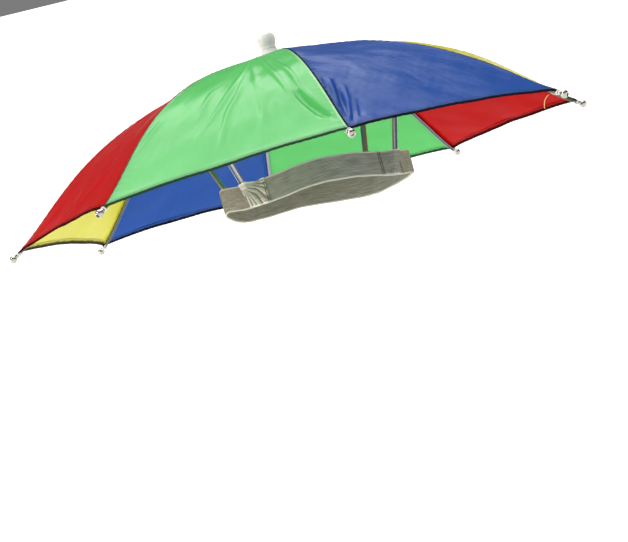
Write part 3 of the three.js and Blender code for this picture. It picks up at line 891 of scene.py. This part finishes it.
def pocket(side, material):
    """A patch of the same elastic sewn on the band over a leg's end, gathered into pleats."""
    start, end = side["pocket_from"] * MM, side["pocket_to"] * MM
    aside, share = np.meshgrid(np.linspace(start, end, 110), np.linspace(-1, 1, 60))
    wave = 0.35 * MM * np.sin(aside / (1.9 * MM)) * share * (0.4 + side["gather"])
    height = share * (BAND_HEIGHT / 2 - 0.2 * MM) + wave
    near_side = np.minimum(aside - start, end - aside)
    pleated = pleats(side, aside, height) * MM * eased(near_side, 0, 2.5 * MM)
    offset = pleated + 0.1 * MM * np.abs(np.cos(np.pi * BAND_CORDS * share / 2))
    sewn = 0.35 * MM * np.exp(-((near_side - 1.1 * MM) / (0.45 * MM)) ** 2)
    rounding = 0.5 * MM * (1 - eased(near_side, 0, 0.7 * MM))
    outer = pocket_place(side, aside, height, offset - sewn - rounding)
    inner = pocket_place(side, aside, height, offset * 0.9 - 0.75 * MM)
    name = side["name"]
    return piece(
        f"elastic_pocket_{name}", sheet_body(outer, inner), material,
        replaces=[f"pocket_{name}"],
        uv=np.column_stack([both_faces(aside), both_faces(height)]),
        marks={"to_edge": both_faces(BAND_HEIGHT / 2 - np.abs(height)),
               # The fold mark picks out the pleats' hollows for painted shade.
               "painted_fold_shade": both_faces(np.clip(-pleats(side, aside, height) * 3, 0, 1))},
        sharp=80,
    )


def stitch_row(side, aside, height, radius):
    """A row of stitches on a pocket, each laid along the row."""
    lift = pleats(side, aside, height) * MM + 0.06 * MM
    centres = pocket_place(side, aside, height, lift)
    step = unit(np.gradient(centres, axis=0))
    away = pocket_place(side, aside, height, lift + MM) - centres
    return stitch_bodies(centres, step, unit(np.cross(away, step)), 1.6 * MM, radius)


def pocket_stitching(side, material):
    """White stitches along a pocket's lower edge."""
    wide = np.arange(side["pocket_from"] + 1.5, side["pocket_to"] - 1.2, 1.9) * MM
    row = stitch_row(side, wide, np.full_like(wide, -9.9 * MM), 0.25 * MM)
    return piece(f"pocket_stitching_{side['name']}", row, material)


def pocket_seams_with_shadow(side, material):
    """Dark seams down both sides of a pocket, thick and dark enough to stand in for the shadow at its edges
    too: thread with a painted shadow.
    """
    tall = np.arange(-9.6, 9.8, 1.7) * MM
    ends = ((side["pocket_to"] - 1.1) * MM, (side["pocket_from"] + 1.1) * MM)
    rows = [stitch_row(side, np.full_like(tall, end), tall, 0.4 * MM) for end in ends]
    return piece(f"pocket_seams_with_shadow_{side['name']}", joined(rows), material)


# ---------------------------------------------------------------- top fittings

CLOTH_TOP = RIM_HEIGHT + CANOPY_RISE
COLLAR_BOTTOM = CLOTH_TOP + GAP
COLLAR_END = COLLAR_BOTTOM + COLLAR_HEIGHT
FINIAL_BASE = COLLAR_END + GAP
MOULD_LINE = math.radians(96)  # turn of the finial's mould line about its axis


def mould_line(angle):
    """A fine raised line down two opposite sides: a narrow bell curve of the angle."""
    away = np.angle(np.exp(2j * (angle - MOULD_LINE))) / 2
    return 0.13 * MM * np.exp(-((away * FINIAL_RADIUS / (0.45 * MM)) ** 2))


def finial(material):
    """The bulb on top: a smooth curve through its outline's points, turned, with its stud below."""
    outline = np.column_stack([FINIAL_OUT, FINIAL_UP]) * [FINIAL_RADIUS, FINIAL_HEIGHT]
    bulb = smooth_line(outline, 44)
    bulb[:, 1] += FINIAL_BASE
    stud = [[STUD_RADIUS * 0.8, HUB_TOP - STUD_DEPTH], [STUD_RADIUS, HUB_TOP - STUD_DEPTH + 0.4 * MM]]
    radius, height = np.vstack([stud, [[STUD_RADIUS, FINIAL_BASE]], bulb]).T
    body = turned(radius, height, sides=64, swell=lambda a, ring: mould_line(a) * (ring > 3))
    return piece("finial_bulb", body, material, replaces=["finial"])


def collar(material):
    """The flared ring under the bulb: a turned outline that sweeps out as a quarter curve to its foot."""
    t = np.linspace(0, 1, 16)
    radius = COLLAR_TOP + (COLLAR_FOOT - COLLAR_TOP) * t**1.7
    height = COLLAR_END - (COLLAR_HEIGHT - COLLAR_LIP) * t
    bore = STUD_RADIUS + GAP
    radii = [bore, COLLAR_TOP - 0.5 * MM, *radius, COLLAR_FOOT, COLLAR_FOOT - 0.3 * MM, bore]
    heights = [COLLAR_END, COLLAR_END, *height, COLLAR_BOTTOM + 0.3 * MM, COLLAR_BOTTOM, COLLAR_BOTTOM]
    points = rings_round_axis(radii, heights, 64).reshape(-1, 3)
    faces = grid_faces(len(radii) + 1, 64, True) % len(points)
    body = (points, facing_out(points, faces))
    return piece("flared_collar", body, material, replaces=["collar"])


def loose_thread(material):
    """A short end of hem thread on the red panel's inner face, near the front tip."""
    side = np.array([-0.905, -0.84, -0.76, -0.66, -0.62])
    down = np.array([0.93, 0.938, 0.953, 0.978, 0.99])
    line = smooth_line(np.column_stack([side, down]), 40)
    below = -CLOTH_THICKNESS - 0.75 * MM - 0.8 * MM * np.sin(np.linspace(0, np.pi, 40))
    path = cloth_point(1, line[:, 0], length_at(1, line[:, 0], line[:, 1]), below)
    return piece("loose_thread", cord_body(path, 0.4 * MM, 8), material)


# ---------------------------------------------------------------- materials


def node(tree, kind, sockets=None, **settings):
    """A shader node with its settings; each named socket is linked or given a value."""
    made = tree.nodes.new("ShaderNode" + kind)
    for name, value in settings.items():
        setattr(made, name, value)
    for name, value in (sockets or {}).items():
        if isinstance(value, bpy.types.NodeSocket):
            tree.links.new(value, made.inputs[name])
        else:
            made.inputs[name].default_value = value
    return made


WHITE, BLACK = (1, 1, 1, 1), (0, 0, 0, 1)


def maths(tree, operation, *values):
    """The result of a Math node on values or sockets."""
    return node(tree, "Math", dict(enumerate(values)), operation=operation).outputs[0]


def plus_and_times(tree):
    """Two functions that add and multiply values or sockets in a tree."""
    return functools.partial(maths, tree, "ADD"), functools.partial(maths, tree, "MULTIPLY")


def noise(tree, place, scale, detail, **sockets):
    made = node(tree, "TexNoise", {"Vector": place, "Scale": scale, "Detail": detail, **sockets})
    return made.outputs["Fac"]


def stretched(tree, place, scale):
    return node(tree, "Mapping", {"Vector": place, "Scale": scale}).outputs["Vector"]


def mark(tree, name):
    return node(tree, "Attribute", attribute_name=name).outputs["Fac"]


def give_bump(tree, result, height, strength):
    bump = node(tree, "Bump", {"Height": height, "Strength": strength, "Distance": 1.0})
    tree.links.new(bump.outputs["Normal"], result.inputs["Normal"])


def mixed(tree, share, first, second):
    """A colour between two, by a share that is a value or socket."""
    made = node(tree, "Mix", {"Factor": share}, data_type="RGBA")
    for socket, value in ((made.inputs[6], first), (made.inputs[7], second)):
        if isinstance(value, bpy.types.NodeSocket):
            tree.links.new(value, socket)
        else:
            socket.default_value = value
    return made.outputs[2]


def share_between(tree, value, low, high):
    """0 below low and 1 above high, smoothly."""
    made = node(tree, "MapRange", {"Value": value, "From Min": low, "From Max": high},
                interpolation_type="SMOOTHSTEP")
    return made.outputs["Result"]


def new_group(name, inputs):
    """An empty node group with named inputs, each a colour or a number, and a colour, a roughness and a
    normal as outputs."""
    tree = bpy.data.node_groups.new(name, "ShaderNodeTree")
    for label, value in inputs.items():
        kind = "NodeSocketColor" if isinstance(value, tuple) else "NodeSocketFloat"
        tree.interface.new_socket(label, in_out="INPUT", socket_type=kind).default_value = value
    for label, kind in (("Colour", "Color"), ("Roughness", "Float"), ("Normal", "Vector")):
        tree.interface.new_socket(label, in_out="OUTPUT", socket_type="NodeSocket" + kind)
    return tree, tree.nodes.new("NodeGroupInput"), tree.nodes.new("NodeGroupOutput")


def weave_group():
    """Plain weave: two crossed sine waves in the cloth's own coordinates, finer crinkles by noise, a colour
    that drifts a little, painted shade along the hem, the turned hem's edge and the near seam, and a painted
    highlight by the far seam."""
    tree, given, result = new_group("plain weave", {
        "Colour": WHITE, "Edge colour": BLACK, "Seam highlight colour": WHITE, "Thread pitch": 0.0004, "Crinkle": 0.3,
    })
    plus, times = plus_and_times(tree)
    place = node(tree, "UVMap", uv_map="cloth").outputs["UV"]
    split = node(tree, "SeparateXYZ", {"Vector": place})
    waves = []
    for axis in ("X", "Y"):
        turns = maths(tree, "DIVIDE", split.outputs[axis], given.outputs["Thread pitch"])
        waves.append(maths(tree, "SINE", times(turns, 2 * math.pi)))
    drift = noise(tree, place, 22, 3)
    crinkle = noise(tree, place, 170, 4, Roughness=0.6)
    slubs = noise(tree, stretched(tree, place, (900, 40, 1)), 1, 2)
    lit = node(tree, "HueSaturation", {
        "Color": given.outputs["Colour"],
        "Value": plus(times(drift, 0.16), plus(times(slubs, 0.07), 0.885)),
    }).outputs["Color"]
    ragged = times(maths(tree, "SUBTRACT", crinkle, 0.5), 0.0012)
    hem, near, far = (plus(mark(tree, name), ragged) for name in EDGE_MARKS)
    # Painted shade: the edge colour darkens the hem, the turned hem's upper edge and the near seam, as if in
    # shadow.
    hem_shade = share_between(tree, hem, 0.003, 0.0019)
    seam_shade = times(share_between(tree, near, 0.0021, 0.0012), 0.95)
    turned_hem_shade = times(share_between(tree, hem, 0.0066, 0.0056), 0.14)
    painted_shade = maths(tree, "MAXIMUM", maths(tree, "MAXIMUM", hem_shade, seam_shade), turned_hem_shade)
    # Painted highlight: a pale line along the far seam.
    seam_highlight = times(share_between(tree, far, 0.0022, 0.0012), 0.7)
    highlighted = mixed(tree, seam_highlight, lit, given.outputs["Seam highlight colour"])
    tree.links.new(mixed(tree, painted_shade, highlighted, given.outputs["Edge colour"]), result.inputs["Colour"])
    tree.links.new(plus(plus(times(crinkle, 0.14), 0.15), times(painted_shade, 0.6)), result.inputs["Roughness"])
    height = plus(times(times(*waves), 0.000006), times(crinkle, times(given.outputs["Crinkle"], 0.001)))
    give_bump(tree, result, height, 0.7)
    return tree


def knit_group():
    """Ribbed elastic: cords along the band, fine loops across them, paler edges, and painted shade in the
    hollows between the cords and in the pleats' folds, mixed with random streaks and blotches."""
    tree, given, result = new_group("ribbed elastic", {
        "Colour": WHITE, "Shade and blotch colour": BLACK, "Edge colour": WHITE, "Cord pitch": 0.0011,
    })
    plus, times = plus_and_times(tree)
    place = node(tree, "UVMap", uv_map="cloth").outputs["UV"]
    split = node(tree, "SeparateXYZ", {"Vector": place})
    turns = maths(tree, "DIVIDE", split.outputs["Y"], given.outputs["Cord pitch"])
    cord = maths(tree, "SINE", times(turns, 2 * math.pi))
    loop = maths(tree, "SINE", times(split.outputs["X"], 2 * math.pi / 0.0009))
    streaks = noise(tree, stretched(tree, place, (60, 900, 1)), 1, 3)
    blotch = noise(tree, place, 90, 3)
    # Painted shade in the cords' hollows and, by the fold mark, in the pleats' folds; the streaks and
    # blotches are random tone.
    shade_and_blotch = plus(plus(times(cord, -0.22), streaks), times(blotch, 0.3))
    shade_and_blotch = times(share_between(tree, shade_and_blotch, 0.35, 1.0), 0.75)
    shade_and_blotch = maths(tree, "MAXIMUM", shade_and_blotch, times(mark(tree, "painted_fold_shade"), 0.85))
    body = mixed(tree, shade_and_blotch, given.outputs["Colour"], given.outputs["Shade and blotch colour"])
    edge = share_between(tree, mark(tree, "to_edge"), 0.0017, 0.0008)
    tree.links.new(mixed(tree, edge, body, given.outputs["Edge colour"]), result.inputs["Colour"])
    tree.links.new(plus(times(streaks, 0.2), 0.65), result.inputs["Roughness"])
    height = plus(plus(times(cord, 0.00007), times(loop, 0.00004)), times(streaks, 0.0002))
    give_bump(tree, result, height, 0.8)
    return tree


def worn_group():
    """Handled hard surface: a colour that drifts, small scuffs that are rougher, and a faint unevenness."""
    tree, given, result = new_group("handled surface", {
        "Colour": WHITE, "Scuff colour": WHITE, "Grain size": 0.002, "Roughness": 0.4, "Relief": 0.00002,
    })
    plus, times = plus_and_times(tree)
    place = node(tree, "TexCoord").outputs["Object"]
    size = maths(tree, "DIVIDE", 1.0, given.outputs["Grain size"])
    drift = noise(tree, place, times(size, 0.2), 2)
    grain = noise(tree, place, size, 4, Roughness=0.6)
    share = times(share_between(tree, grain, 0.56, 0.7), plus(drift, 0.1))
    tree.links.new(mixed(tree, share, given.outputs["Colour"], given.outputs["Scuff colour"]),
                   result.inputs["Colour"])
    tree.links.new(plus(given.outputs["Roughness"], times(share, 0.25)), result.inputs["Roughness"])
    give_bump(tree, result, times(grain, given.outputs["Relief"]), 1.0)
    return tree


def linear(red, green, blue):
    """A linear colour from its values on a screen, 0 to 255, by the screen's own curve."""
    values = np.array([red, green, blue]) / 255
    curve = np.where(values <= 0.04045, values / 12.92, ((values + 0.055) / 1.055) ** 2.4)
    return (*curve.tolist(), 1.0)


WEAVE, KNIT, WORN = weave_group(), knit_group(), worn_group()


def dressed_material(name, group, values, settings, through=None):
    """A material whose colour, roughness and normal come from a group with these values: a surface with
    these settings and, where through is a share, that much light that comes through from behind."""
    material = bpy.data.materials.new(name)
    material.use_nodes = True
    tree = material.node_tree
    tree.nodes.clear()
    given = tree.nodes.new("ShaderNodeGroup")
    given.node_tree = group
    for label, value in values.items():
        given.inputs[label].default_value = value
    colour, normal = given.outputs["Colour"], given.outputs["Normal"]
    face = node(tree, "BsdfPrincipled", {
        "Base Color": colour, "Roughness": given.outputs["Roughness"], "Normal": normal, **settings,
    })
    if through is not None:
        behind = node(tree, "BsdfTranslucent", {"Color": colour, "Normal": normal})
        face = node(tree, "MixShader", {0: through, 1: face.outputs[0], 2: behind.outputs[0]})
    tree.links.new(face.outputs[0], tree.nodes.new("ShaderNodeOutputMaterial").inputs["Surface"])
    return material


def cloth_material(name, colour, edge, seam_highlight, through, gloss):
    """Thin woven polyester: a matt surface with a soft sheen, mixed with light that comes through."""
    # edge is the colour of the painted shade at the hem and near seam, the next one that of the painted
    # highlight at the far seam.
    values = {"Colour": linear(*colour), "Edge colour": linear(*edge), "Seam highlight colour": linear(*seam_highlight),
              "Crinkle": 0.16}
    return dressed_material(name, WEAVE, values, {"Specular IOR Level": gloss}, through)


def elastic_material(name, colour, shade_and_blotch, edge):
    """Ribbed elastic: matt, with a little light that comes through."""
    values = {"Colour": linear(*colour), "Shade and blotch colour": linear(*shade_and_blotch), "Edge colour": linear(*edge)}
    return dressed_material(name, KNIT, values, {"Specular IOR Level": 0.25}, 0.2)


def hard_material(name, colour, scuff, roughness, grain, metallic=0.0, relief=0.00002):
    """Metal, plastic or thread with a handled surface."""
    values = {"Colour": linear(*colour), "Scuff colour": linear(*scuff), "Grain size": grain,
              "Roughness": roughness, "Relief": relief}
    return dressed_material(name, WORN, values, {"Metallic": metallic, "Specular IOR Level": 0.5})


# In each cloth the third colour is painted shade for the hem and near seam, the fourth a painted highlight
# for the far seam.
CLOTHS = {
    "yellow": cloth_material("yellow cloth", (218, 214, 78), (60, 56, 8), (255, 252, 170), 0.45, 0.2),
    "red": cloth_material("red cloth", (196, 17, 15), (70, 4, 6), (200, 24, 20), 0.45, 0.04),
    "green": cloth_material("green cloth", (108, 208, 120), (2, 70, 18), (196, 255, 190), 0.47, 0.5),
    "blue": cloth_material("blue cloth", (46, 97, 178), (3, 6, 36), (110, 140, 220), 0.46, 0.15),
}
# Two copies of one white elastic: the darker stands in for elastic in shade (painted shade), the paler for
# elastic in light (painted light).
SHADED_ELASTIC = elastic_material("elastic in painted shade", (158, 158, 144), (78, 80, 66), (198, 196, 180))
LIT_ELASTIC = elastic_material("elastic in painted light", (232, 227, 210), (96, 93, 72), (230, 226, 210))
STEEL = hard_material("bright steel strip", (146, 150, 158), (104, 106, 110), 0.36, 0.003, 1.0)
NICKEL = hard_material("nickel plate", (176, 172, 164), (120, 116, 106), 0.16, 0.002, 1.0)
PALE_PLASTIC = hard_material("pale grey plastic", (214, 215, 208), (196, 197, 190), 0.42, 0.004)
BLACK_PLASTIC = hard_material("black plastic", (22, 23, 25), (54, 55, 57), 0.45, 0.003)
# Dark enough to paint the shadow along the pockets' edges as well as their seams.
EDGE_SHADOW_THREAD = hard_material("dark thread and painted edge shadow", (44, 40, 26), (30, 28, 20), 0.85, 0.0008, relief=0.0001)
WHITE_THREAD = hard_material("white thread", (232, 230, 220), (200, 198, 188), 0.8, 0.0008, relief=0.0001)
YELLOW_THREAD = hard_material("yellow thread", (232, 190, 120), (214, 150, 90), 0.8, 0.0008, relief=0.0001)

# ---------------------------------------------------------------- the hat

for number in range(1, RIB_COUNT + 1):
    cloth = CLOTHS[panel_colour(number)]
    rib(number, STEEL)
    rib_tip(number, NICKEL)
    tip_thread(number, WHITE_THREAD)
    stretcher(number, STEEL)
    joint_plates(number, number % 2 == 1, STEEL)
    gore = panel(number, cloth)
    fold = seam_fold(number, cloth)
    stitches = hem_stitching(number, cloth)

for side in LEGS:
    leg(side, STEEL)
    # Pockets with more gather get the copy in painted light, the others the copy in painted shade.
    patch = pocket(side, LIT_ELASTIC if side["gather"] > 0.4 else SHADED_ELASTIC)
    sewing = [pocket_stitching(side, WHITE_THREAD), pocket_seams_with_shadow(side, EDGE_SHADOW_THREAD)]

# The band is the elastic copy in painted shade.
band = headband(SHADED_ELASTIC)
finial(PALE_PLASTIC)
collar(PALE_PLASTIC)
loose_thread(YELLOW_THREAD)

for name, material in (("hub", BLACK_PLASTIC), ("runner", BLACK_PLASTIC), ("shaft", STEEL)):
    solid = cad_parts[name]
    solid.data.materials.clear()
    solid.data.materials.append(material)

# ---------------------------------------------------------------- stage and light

FLOOR_HEIGHT = -0.36
STAGE_RADIUS = 3.8
STAGE_CURVE = 1.0
STAGE_WALL = 0.65
STAGE_SIDES = 96


def floor_material():
    """White paper lit from behind: a matt surface that also shines a little."""
    values = {"Colour": linear(246, 246, 246), "Scuff colour": linear(242, 242, 242), "Grain size": 0.3,
              "Roughness": 0.9, "Relief": 0.0}
    settings = {"Specular IOR Level": 0.0, "Emission Color": WHITE, "Emission Strength": 0.66}
    return dressed_material("white paper", WORN, values, settings)


def stage():
    """A pale floor that curves up into a round wall: a turned outline of a flat, a quarter circle and a
    straight wall."""
    turn = np.linspace(0, np.pi / 2, 24)
    radius = [*np.linspace(0.02, STAGE_RADIUS, 12), *(STAGE_RADIUS + STAGE_CURVE * np.sin(turn[1:]))]
    height = [*np.zeros(12), *(STAGE_CURVE * (1 - np.cos(turn[1:])))]
    radius.append(STAGE_RADIUS + STAGE_CURVE)
    height.append(STAGE_CURVE + STAGE_WALL)
    points = rings_round_axis(radius, FLOOR_HEIGHT + np.array(height), STAGE_SIDES)
    faces = grid_faces(len(radius), STAGE_SIDES, True)[:, ::-1].tolist()
    mesh = bpy.data.meshes.new("floor")
    mesh.from_pydata(points.reshape(-1, 3).tolist(), [], [*faces, list(range(STAGE_SIDES))])
    mesh.polygons.foreach_set("use_smooth", np.ones(len(mesh.polygons), bool))
    made = in_scene("floor", mesh)
    mesh.materials.append(floor_material())


OVERHEAD_PLACE = np.array([0.334, 0.024, 1.5])
OVERHEAD_ALONG = (0.924, -0.383, 0)  # its far edge is what the canopy's flank mirrors at its shoulder
STRIP_PLACE = np.array([0.612, 0.694, 1.49])  # below that far edge


def softbox(name, place, aim, size, power, along=None):
    """A soft light that looks from its place at its aim. Its width runs along, or level."""
    light = bpy.data.lights.new(name, "AREA")
    light.shape = "RECTANGLE"
    light.size, light.size_y = size
    light.energy = power
    back = unit(np.array(place, float) - np.array(aim, float))
    right = unit(np.cross([0, 0, 1], back) if along is None else np.array(along, float))
    in_scene(name, light).matrix_world = turned_and_placed(right, np.cross(back, right), back, place)


def world_light(strength):
    world = bpy.data.worlds.new("studio")
    world.use_nodes = True
    sky = world.node_tree.nodes["Background"]
    sky.inputs["Color"].default_value = WHITE
    sky.inputs["Strength"].default_value = strength
    bpy.context.scene.world = world


stage()
world_light(0.2)
softbox("overhead softbox", OVERHEAD_PLACE, OVERHEAD_PLACE - [0, 0, 1], (1.8, 1.7), 29, OVERHEAD_ALONG)
softbox("far strip", STRIP_PLACE, STRIP_PLACE - [0, 0, 1], (1.8, 0.25), 4, OVERHEAD_ALONG)
softbox("key softbox", (-1.42, 0.57, 1.14), (0, 0, 0.05), (0.45, 0.45), 14)
softbox("low softbox", (-1.2, 1.6, -0.05), (0, 0, 0.02), (0.8, 0.5), 13)
bpy.context.scene.view_settings.view_transform = "Standard"
